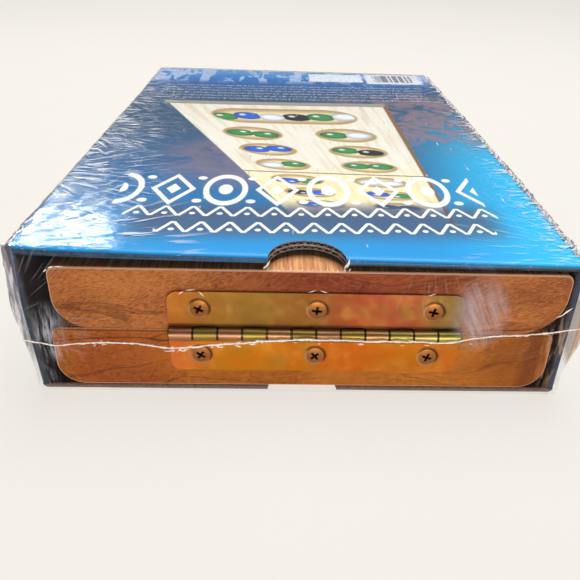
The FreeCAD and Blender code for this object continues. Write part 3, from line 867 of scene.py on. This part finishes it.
def film_stations(step):
    """Round the film, evenly spaced; the kinds are its panels."""
    top = [(x, "top") for x in spread(-FLAT_HALF_W, FLAT_HALF_W, step)]
    under = [(x, "under") for x in spread(FLAT_HALF_W, -FLAT_HALF_W, step * 3)]
    return section(top, under, step, "side")


def film_lift(x, z, behind, panel):
    if panel == "under":
        return 0.05
    if panel == "top":
        return FILM_GAP + 0.2 * top_wrinkle(x, behind)
    wrinkle = 0.35 * ridges(behind / 3.2, z / 18, 6.1) * math.exp(-max(behind, 0) / 60.0)
    wrinkle += 0.15 * ridges(behind / 20, z / 5, 8.8)
    bulge = EAR_REACH * ear(x, z) * math.exp(-max(behind, 0.0) / 5.0)
    return FILM_GAP + wrinkle + bulge


def film_wrap(material):
    """The film over the top, sides, back and underside, drawn in at the back to a gathered seam."""
    stations = film_stations(1.3)
    rows = [-0.6] + spread(0.0, SLEEVE_L, 1.5)
    columns = []
    for x, z, normal, panel in stations:
        column = []
        for behind in rows:
            lift = film_lift(x, z, behind, panel)
            column.append(sagged(x + normal[0] * lift, FRONT_Y + behind, z + normal[1] * lift))
        middle_z = SLEEVE_Z + SLEEVE_H / 2
        for i, share in enumerate((0.985, 0.94, 0.85, 0.72, 0.55, 0.38, 0.2, 0.06)):
            gather = 0.5 * ridges(x / 4, z / 9, 3.0) * (1 - share) + 0.3
            column.append((x * (0.35 + 0.65 * share) if panel == "side" else x * (0.6 + 0.4 * share),
                           FRONT_Y + SLEEVE_L + gather, middle_z + (z - middle_z) * share))
        columns.append(column)
    points = [p for column in columns for p in column]
    faces = strip_faces(len(columns), len(columns[0]), closed=True)
    return mesh_object("film_wrap_skin", points, faces, [material])


# The seal line's height above the stage at chosen places across the front.
SEAM_X = (-79, -74, -67, -60, -53, -45, -36, -30, -26, -12, 0, 12, 25, 36, 42, 47, 52, 62, 68, 79)
SEAM_HEIGHT = (19.2, 17.9, 16.5, 17.7, 18.0, 18.2, 17.4, 18.1, 19.0, 20.7, 21.5, 21.3, 21.3, 21.0, 21.2, 22.2,
               22.4, 22.6, 23.3, 25.3)


def seam_z(x):
    wobble = 0.35 * noise.noise(Vector((x / 7, 2.0, 0.0))) + 0.18 * noise.noise(Vector((x / 1.6, 5.0, 0.0)))
    return float(np.interp(x, SEAM_X, SEAM_HEIGHT)) + wobble


def front_film_y(x, z):
    """The front sheet is stretched over the hinge barrel and falls back towards the card's edges."""
    over_hinge = 1 / (1 + math.exp((abs(x - HINGE_X) - HINGE_HALF_L - 6) / 5))
    tent = max(1 - abs(z - SEAM_Z) / (26 if z > SEAM_Z else 21), 0.0)
    reach = 0.5 + (1.3 + 2.5 * over_hinge) * tent
    seam = math.exp(-abs(z - seam_z(x)) / 2.2)
    pleat = 0.16 * ridges(x / 3, z / 14 + x / 11, 1.1) * math.exp(-min(abs(x + 64), abs(x - 50)) / 12)
    return FRONT_Y - reach - 0.25 * seam - pleat * tent


def film_front(material):
    """The sheet across the open end, with a gathered ear at each side."""
    x_count = 150
    z_rows = spread(0.0, 1.0, 1 / 44)
    points = []
    for i in range(x_count + 1):
        u = -1 + 2 * i / x_count
        for t in z_rows:
            z = SLEEVE_Z + SLEEVE_H * t + (FILM_GAP if t == 1 else 0)
            ragged = 1.05 + 0.2 * noise.noise(Vector((z / 2, u, 0)))
            x = u * (HALF_W + FILM_GAP + EAR_REACH * ear(u, z) * ragged)
            y = front_film_y(x, z)
            if t in (0.0, 1.0):
                y = FRONT_Y - 0.6
            points.append(sagged(x, y, z))
    return mesh_object("film_front_skin", points, strip_faces(x_count + 1, len(z_rows)), [material])


def seal_bead(material):
    """The ragged melted line where the front sheet was sealed and cut."""
    points = []
    faces = []
    around = 6
    left = HALF_W + EAR_REACH * ear(-1, seam_z(-HALF_W)) + 0.3
    right = HALF_W + EAR_REACH * ear(1, seam_z(HALF_W)) + 0.3
    xs = spread(-left, right, 0.45)
    for i, x in enumerate(xs):
        z = seam_z(x)
        y = front_film_y(x, z) - 0.12
        rough = abs(noise.noise(Vector((x / 1.1, 0, 9)))) + 0.6 * abs(noise.noise(Vector((x / 0.5, 3, 9))))
        tall = 0.15 + 0.42 * rough
        deep = 0.08 + 0.10 * rough
        for k in range(around):
            angle = 2 * math.pi * k / around
            points.append(sagged(x, y + deep * math.cos(angle), z + tall * math.sin(angle)))
    for i in range(len(xs) - 1):
        for k in range(around):
            a = i * around + k
            b = i * around + (k + 1) % around
            faces.append((a, b, b + around, a + around))
    faces.append(list(range(around))[::-1])
    faces.append([len(points) - around + k for k in range(around)])
    return mesh_object("film_seal_bead", points, faces, [material])


def spindle(points, faces, start, end, thick):
    """A thin tapered sliver between two points."""
    ahead = (Vector(end) - Vector(start)).normalized()
    across = ahead.cross(Vector((0, 1, 0)))
    if across.length < 0.1:
        across = Vector((1, 0, 0))
    across = across.normalized() * thick
    up = ahead.cross(across).normalized() * thick * 0.6
    middle = (Vector(start) + Vector(end)) / 2
    first = len(points)
    points += [tuple(p) for p in (start, middle + across, middle + up, middle - across, middle - up, end)]
    for k in range(4):
        a = first + 1 + k
        b = first + 1 + (k + 1) % 4
        faces += [(first, b, a), (first + 5, a, b)]


# Each sliver's two ends, x across and z above the wood's rim, and its thickness; these white slivers are
# painted glints.
RIM_GLINT_SLIVERS = (
    (10.4, 1.2, 11.0, 4.4, 0.35), (9.6, 0.8, 10.4, 2.8, 0.3), (-10.8, 0.6, -9.6, 3.0, 0.3),
    (-11.4, 0.2, -10.6, 1.4, 0.25), (-65.3, -1.8, -63.7, -1.1, 0.25), (-66.5, -3.0, -65.5, -2.0, 0.2),
    (-63.7, -1.2, -61.3, -1.1, 0.18), (70.2, -13.4, 73.2, -10.4, 0.3), (69.0, -14.2, 71.4, -12.6, 0.2),
    (-33.4, -8.2, -31.8, -6.9, 0.16), (-31.6, -6.8, -28.6, -6.5, 0.16), (-28.2, -6.8, -26.6, -8.6, 0.16),
    (0.4, -6.6, 2.6, -5.8, 0.14), (3.4, -5.9, 5.8, -6.6, 0.14), (32.6, -6.9, 34.6, -6.1, 0.14))

# Where shreds hang from the seal line: from x, to x, how many and how thick.
SEAM_SHREDS = (
    (-37, -27, 16, 0.3), (-25, -11, 16, 0.26), (-58, -52, 5, 0.2), (44, 52, 6, 0.18), (-6, 34, 10, 0.16))


def film_shreds_and_glints(material):
    """Slivers of bunched film on the front sheet by the seam, and white slivers by the notch, the wood's rim
    and the screws that are painted glints.
    """
    points = []
    faces = []
    dice = random.Random(7)
    wood_top = SEAM_Z + (SEAM_Z - BOARD_LO[2]) + RIM_SHOWS

    def sliver(x0, z0, x1, z1, thick):
        y0 = front_film_y(x0, z0) - 0.15
        y1 = front_film_y(x1, z1) - 0.15
        spindle(points, faces, sagged(x0, y0, z0), sagged(x1, y1, z1), thick)

    # painted glints: a row of white ticks along the wood's rim in the notch
    for k in range(14):
        x = -8.6 + 1.5 * k + dice.uniform(-0.5, 0.5)
        low = wood_top + dice.uniform(-0.3, 0.3)
        sliver(x, low, x + dice.uniform(-0.7, 0.5), low + dice.uniform(0.5, 1.5), dice.uniform(0.10, 0.22))
    # painted glints: white slivers on the wood's rim and round the screws
    for x0, z0, x1, z1, thick in RIM_GLINT_SLIVERS:
        sliver(x0, wood_top + z0, x1, wood_top + z1, thick)
    for low, high, count, thick in SEAM_SHREDS:
        for _ in range(count):
            x = dice.uniform(low, high)
            z = seam_z(x) + dice.uniform(-1.5, 0.4)
            end_x = x + dice.uniform(-2.0, 2.0)
            sliver(x, z, end_x, z + dice.uniform(-0.6, 0.6), dice.uniform(0.4, 1.0) * thick)
    return clean_up(mesh_object("film_shreds_and_glints", points, faces, [material]), 1e-8, 80)


def film_fin(material):
    """The jagged ridge of bunched film along the top's right edge, and glints on the front fold."""
    points = []
    faces = []
    dice = random.Random(11)
    top = SLEEVE_Z + SLEEVE_H
    places = spread(4.0, SLEEVE_L - 6.0, 0.6)
    for behind in places:
        swell = 0.25 + 1.1 * abs(noise.noise(Vector((behind / 9.0, 2.0, 7.0))))
        wide = 0.3 + 2.6 * swell * dice.random() ** 2
        lift = 0.35 + 1.5 * swell * dice.random()
        shift = dice.uniform(-0.3, 0.3)
        for x, z in ((HALF_W - 1.8, top + 0.25), (HALF_W - 0.6 + shift, top + lift),
                     (HALF_W + 0.2 + wide / 2, top + 0.2 * lift), (HALF_W + 0.35, top - 1.4 - wide)):
            points.append(sagged(x, FRONT_Y + behind, z))
    for i in range(len(places) - 1):
        for k in range(3):
            a = 4 * i + k
            faces.append((a, a + 1, a + 5, a + 4))
    # painted glints: white slivers along the top's front fold
    for x in (-72.6, -71.0, -69.4, -67.8, -65.9, -33.0, 12.6, 41.0, 58.5):
        start = sagged(x, FRONT_Y - 0.35, top - 0.5)
        end = sagged(x + dice.uniform(0.7, 1.5), FRONT_Y - 0.35, top - 0.45)
        spindle(points, faces, start, end, 0.18)
    return mesh_object("film_fin_ridge", points, faces, [material], smooth=False)


def streaks(s, corner_x, corner_y, spokes, length, near, reach, level=0.61):
    """Tapered white strokes, partly whitened film and partly painted glints, that fan out from a point of the
    top.
    """
    offset = s.vector("SUBTRACT", s.place, (corner_x, FRONT_Y + corner_y, 0))
    x, y = s.xyz(offset)[0:2]
    far = s.vector("LENGTH", s.join(x, y))
    angle = s.math("ARCTAN2", y, x)
    fan = s.noise(s.join(s.times(angle, spokes), s.over(far, length), corner_y), 1.0, 1.0)
    stroke = s.smooth(fan, level, level + 0.09)
    return s.times(stroke, s.smooth(far, reach, near))


def ear_colour(s, x):
    """Grey film on the left and on the right a tan that is a painted reflection of the wood, with pale
    upright folds that are partly painted highlights.
    """
    folds = s.smooth(s.stretched(s.place, 0.9, 0.9, 0.12, detail=3.0), 0.48, 0.66)
    # tan on the right, in both tones: painted reflection of the wood
    shade = s.mix(s.smooth(x, -10.0, 10.0), srgb(104, 98, 106), srgb(168, 122, 88))
    return s.mix(folds, shade, s.mix(s.smooth(x, -10.0, 10.0), srgb(226, 222, 232), srgb(226, 186, 152)))


def film_surface(s, normal, whitening_and_glare, tint, shine, rough):
    """Clear film that is whitened by one mask, partly as painted glare, and mirror-like by another."""
    clear = s.add("BsdfTransparent", {"Color": (0.985, 0.99, 1.0, 1)}).outputs[0]
    gloss = s.add("BsdfGlossy", {"Color": (1, 1, 1, 1), "Roughness": rough, "Normal": normal}).outputs[0]
    white = s.add("BsdfDiffuse", {"Color": tint, "Normal": normal}).outputs[0]
    body = s.add("MixShader", {0: whitening_and_glare, 1: clear, 2: white}).outputs[0]
    return s.finish(s.add("MixShader", {0: shine, 1: body, 2: gloss}).outputs[0])


def film_material(name, white_streak_gain, shine_gain):
    """Clear film: mirror-like where it catches the light, with thin white streaks that are partly whitened
    crease lines and partly painted glints.
    """
    s = Shader(name)
    x, y, z = s.xyz(s.place)[0:3]
    from_front = s.minus(y, FRONT_Y)
    front_left = streaks(s, -HALF_W - 14, -4.0, 34.0, 13.0, 34.0, 72.0, 0.59)
    fans = ((52.0, 44.0, 26.0, 58.0), (104.0, 50.0, 24.0, 50.0), (160.0, 50.0, 22.0, 46.0))
    for corner_y, spokes, near, reach in fans:
        front_left = s.most(front_left, streaks(s, -HALF_W - 16, corner_y, spokes, 10.0, near, reach, 0.58))
    front_right = s.times(streaks(s, HALF_W + 12, 6.0, 40.0, 12.0, 20.0, 60.0), 0.4)
    front_right = s.most(front_right, streaks(s, 30.0, 236.0, 30.0, 12.0, 20.0, 70.0))
    near_left = s.times(s.smooth(x, -HALF_W + 16, -HALF_W), s.smooth(from_front, 20.0, 50.0))
    left_ticks = s.times(near_left, s.smooth(s.stretched(s.place, 0.12, 0.75, 0.3, detail=2.0), 0.56, 0.64))
    near_right = s.smooth(x, HALF_W - 10, HALF_W)
    right_ticks = s.times(near_right, s.smooth(s.stretched(s.place, 0.2, 0.8, 0.3, detail=2.0), 0.56, 0.64))
    on_top = s.smooth(z, SLEEVE_Z + SLEEVE_H - 5.0, SLEEVE_Z + SLEEVE_H - 2.0, 0.12, 1.0)
    creases_and_glints = s.most(s.most(front_left, front_right), s.most(left_ticks, right_ticks))
    creases_and_glints = s.times(creases_and_glints, on_top)
    shifted = s.vector("ADD", s.place, (3, 0, 0))
    long_streaks = s.smooth(s.stretched(shifted, 0.9, 0.10, 0.5, detail=2.0), 0.70, 0.78)
    creases_and_glints = s.most(creases_and_glints, s.times(long_streaks, 0.7))
    lines = s.size(s.minus(s.stretched(s.place, 0.10, 0.22, 0.10, detail=3.0, distort=0.6), 0.5))
    lines = s.smooth(lines, 0.014, 0.002)
    rim = s.most(s.smooth(x, -HALF_W + 44, -HALF_W + 4), s.smooth(x, HALF_W - 18, HALF_W - 2))
    creases_and_glints = s.most(creases_and_glints, s.times(lines, rim, on_top, 0.5))
    outside = s.smooth(s.size(x), HALF_W + 0.6, HALF_W + 1.4)
    # white streaks over the top: partly whitened film, partly painted glints
    whitening_and_glare = s.most(s.times(creases_and_glints, white_streak_gain), s.times(outside, 0.6))
    fine = s.noise(s.place, 0.3, 3.0, 0.55)
    normal = s.bump(creases_and_glints, 0.12, 0.0006, s.bump(fine, 0.05, 0.001))
    facing = s.add("LayerWeight", {"Blend": 0.5, "Normal": normal}).outputs["Facing"]
    fresnel = s.math("MULTIPLY_ADD", s.math("POWER", facing, 5.0), 0.96, 0.04)
    haze_and_glare = s.mix(outside, (0.9, 0.94, 1.0, 1), ear_colour(s, x))
    return film_surface(s, normal, whitening_and_glare, haze_and_glare, s.math("MULTIPLY", fresnel, shine_gain, clamp=True), 0.1)


def fan_lines(s, x, z, cx, cz, spokes, reach):
    """Thin crease lines, partly painted glare, that fan out over the front from one point and die away."""
    dx = s.minus(x, cx)
    dz = s.minus(z, cz)
    far = s.vector("LENGTH", s.join(dx, dz))
    angle = s.math("ARCTAN2", dz, dx)
    field = s.noise(s.join(s.times(angle, spokes), s.over(far, 14.0), cx), 1.0, 1.0)
    return s.times(s.smooth(field, 0.58, 0.70), s.smooth(far, reach, reach * 0.25))


def haze_patch(s, x, z, cx, cz, rx, rz):
    spot = s.vector("LENGTH", s.join(s.over(s.minus(x, cx), rx), s.over(s.minus(z, cz), rz)))
    return s.smooth(spot, 1.0, 0.2)


def front_film_material():
    """The sheet over the open end: clear, with pleats that whiten at its gathered sides and pale patches that
    are partly whitened film and partly painted glare.
    """
    s = Shader("film_clear_front")
    x, y, z = s.xyz(s.place)[0:3]
    upright = s.noise(s.vector("MULTIPLY", s.place, (1.1, 0.4, 0.13)), 1.0, 3.0, 0.6)
    pleats = s.smooth(upright, 0.46, 0.66)
    # pale patches over the sheet: partly whitened film, partly painted glare
    left = s.times(haze_patch(s, x, z, -69.5, 20.0, 6.0, 12.0), s.smooth(upright, 0.36, 0.7), 0.5)
    left_low = s.times(haze_patch(s, x, z, -72.0, 8.0, 4.0, 12.0), pleats, 0.12)
    right = s.times(haze_patch(s, x, z, 71.0, 16.0, 5.5, 18.0), pleats, 0.45)
    slanted = s.noise(s.vector("MULTIPLY", s.join(s.plus(x, s.times(z, 0.5)), y, z),
                               (0.55, 0.4, 0.04)), 1.0, 3.0, 0.6)
    middle = s.times(haze_patch(s, x, z, 48.0, 29.0, 10.0, 14.0), s.smooth(slanted, 0.1, 0.9), 0.5)
    lines = s.most(fan_lines(s, x, z, -82.0, 24.0, 30.0, 46.0), fan_lines(s, x, z, 82.0, 24.0, 30.0, 34.0))
    lines = s.most(lines, fan_lines(s, x, z, 32.0, 56.0, 26.0, 36.0))
    haze_and_glare = s.most(s.most(left, left_low), s.most(right, middle))
    haze_and_glare = s.most(haze_and_glare, s.times(lines, 0.10))
    outside = s.smooth(s.size(x), HALF_W + 0.2, HALF_W + 1.0)
    haze_and_glare = s.most(haze_and_glare, s.times(outside, 0.6))
    fine = s.noise(s.place, 0.25, 2.0)
    normal = s.bump(s.plus(fine, haze_and_glare), 0.12, 0.0008)
    facing = s.add("LayerWeight", {"Blend": 0.5, "Normal": normal}).outputs["Facing"]
    shine = s.math("MULTIPLY_ADD", s.math("POWER", facing, 5.0), 0.3, 0.004)
    # the tan towards the right is a painted reflection of the wood
    tint = s.mix(s.smooth(x, 50.0, 66.0), srgb(226, 226, 236), srgb(206, 168, 138))
    tint = s.mix(outside, tint, ear_colour(s, x))
    return film_surface(s, normal, haze_and_glare, tint, shine, 0.08)


def bead_and_glint_material():
    s = Shader("melted_film_and_glints")
    fine = s.noise(s.place, 2.0, 4.0)
    colour = s.mix(fine, srgb(232, 208, 192), srgb(255, 250, 246))
    clear = s.add("BsdfTransparent", {"Color": (1, 1, 1, 1)}).outputs[0]
    solid = s.principled(Base_Color=colour, Roughness=0.22, Normal=s.bump(fine, 0.5, 0.0005))
    return s.finish(s.add("MixShader", {0: 0.94, 1: clear, 2: solid}).outputs[0])


def fin_material():
    """Crumpled film: specks of glare, grey and see-through."""
    s = Shader("crumpled_film")
    cell = s.noise(s.place, 0.9, 3.0, 0.7)
    colour = s.ramp(cell, [(0.38, srgb(96, 92, 104)), (0.50, srgb(176, 168, 174)),
                           (0.60, srgb(252, 246, 240))])
    clear = s.add("BsdfTransparent", {"Color": (1, 1, 1, 1)}).outputs[0]
    solid = s.principled(Base_Color=colour, Roughness=0.2, Normal=s.bump(cell, 0.6, 0.0008))
    holes = s.smooth(s.noise(s.vector("ADD", s.place, (5, 5, 5)), 0.8, 2.0), 0.42, 0.56)
    return s.finish(s.add("MixShader", {0: s.times(holes, 0.85), 1: clear, 2: solid}).outputs[0])


# ---- Stage, light and camera

def stage_floor():
    s = Shader("stage_paper")
    tone = s.noise(s.place, 0.02, 3.0)
    colour = s.mix(tone, srgb(246, 242, 234), srgb(248, 244, 236))
    material = s.finish(s.principled(Base_Color=srgb(90, 88, 84), Roughness=0.9, Emission_Color=colour,
                                     Emission_Strength=0.82))
    reach = 4000
    points = [(-reach, -reach, 0), (reach, -reach, 0), (reach, reach, 0), (-reach, reach, 0)]
    floor = mesh_object("stage_floor", points, [(0, 1, 2, 3)], [material], smooth=False)


def area_light(name, place, target, width, height, power, colour=(1, 1, 1)):
    data = bpy.data.lights.new(name, "AREA")
    data.shape = "RECTANGLE"
    data.size = width
    data.size_y = height
    data.energy = power
    data.color = colour
    lamp = bpy.data.objects.new(name, data)
    lamp.location = place
    lamp.rotation_euler = (Vector(target) - Vector(place)).to_track_quat("-Z", "Y").to_euler()
    bpy.context.scene.collection.objects.link(lamp)


def lights():
    world = bpy.data.worlds.new("soft_room")
    world.use_nodes = True
    back = world.node_tree.nodes["Background"]
    back.inputs["Color"].default_value = (1.0, 0.985, 0.96, 1)
    back.inputs["Strength"].default_value = 0.08
    bpy.context.scene.world = world
    area_light("window", (-0.30, 0.533, 0.376), (-0.064, -0.112, 0.045), 0.16, 0.05, 0.34)
    area_light("overhead", (0.10, 0.26, 0.93), (0, 0.02, 0), 0.8, 0.8, 15.0)
    area_light("front_fill", (0.12, -0.95, 0.055), (0, -0.1, 0.02), 0.6, 0.08, 4.6)


CAMERA_PLACE = (-8.11, -149.13, 119.67)     # from the middle of the slipcase's lower front edge
CAMERA_DOWN = 0.5207
CAMERA_TURN = 0.0464
CAMERA_ROLL = 0.0393
SENSOR_W = 36
FOCAL_SHARE = 1.108103
SHIFT_X = -0.020517


def camera():
    down = (math.cos(CAMERA_DOWN), math.sin(CAMERA_DOWN))
    turn = (math.cos(CAMERA_TURN), math.sin(CAMERA_TURN))
    forward = Vector((turn[1] * down[0], turn[0] * down[0], -down[1]))
    level = Vector((turn[0], -turn[1], 0))
    above = level.cross(forward)
    right = math.cos(CAMERA_ROLL) * level + math.sin(CAMERA_ROLL) * above
    up = math.cos(CAMERA_ROLL) * above - math.sin(CAMERA_ROLL) * level
    data = bpy.data.cameras.new("view")
    data.sensor_width = SENSOR_W
    data.lens = SENSOR_W * FOCAL_SHARE
    data.shift_x = SHIFT_X
    data.clip_start = 0.01
    eye = bpy.data.objects.new("view", data)
    place = Vector(CAMERA_PLACE) + Vector((0, FRONT_Y, SLEEVE_Z))
    matrix = Matrix((right, up, -forward)).transposed().to_4x4()
    matrix.translation = place * MM
    eye.matrix_world = matrix
    bpy.context.scene.collection.objects.link(eye)
    bpy.context.scene.camera = eye


# ---- Assembly

camera()
lights()
stage_floor()
dress_cad_nodes()

card = slipcase()
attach(card, "slipcase")
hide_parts("sleeve_top", "sleeve_hem", "sleeve_bottom", "sleeve_side_left", "sleeve_side_right",
            "sleeve_hem_left", "sleeve_hem_right", "sleeve_back")

top_flutes = flutes("card_flutes_top", SLEEVE_Z + SLEEVE_H, -1, 2)
bottom_flutes = flutes("card_flutes_bottom", SLEEVE_Z, 1, 1)
for piece in (top_flutes, bottom_flutes):
    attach(piece, "slipcase")

wrap = film_wrap(film_material("film_clear", 0.85, 1.0))
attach(wrap, "slipcase")
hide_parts("film_wrap", "film_bottom")

fin = film_fin(fin_material())
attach(fin, "slipcase")

front = film_front(front_film_material())
# this one material serves the seal bead and the white slivers that are painted glints
melted = bead_and_glint_material()
bead = seal_bead(melted)
shreds = film_shreds_and_glints(melted)
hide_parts("film_front")
for piece in (front, bead, shreds):
    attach(piece, "lower_half")
    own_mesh(piece)

bpy.context.scene.view_settings.view_transform = "Standard"
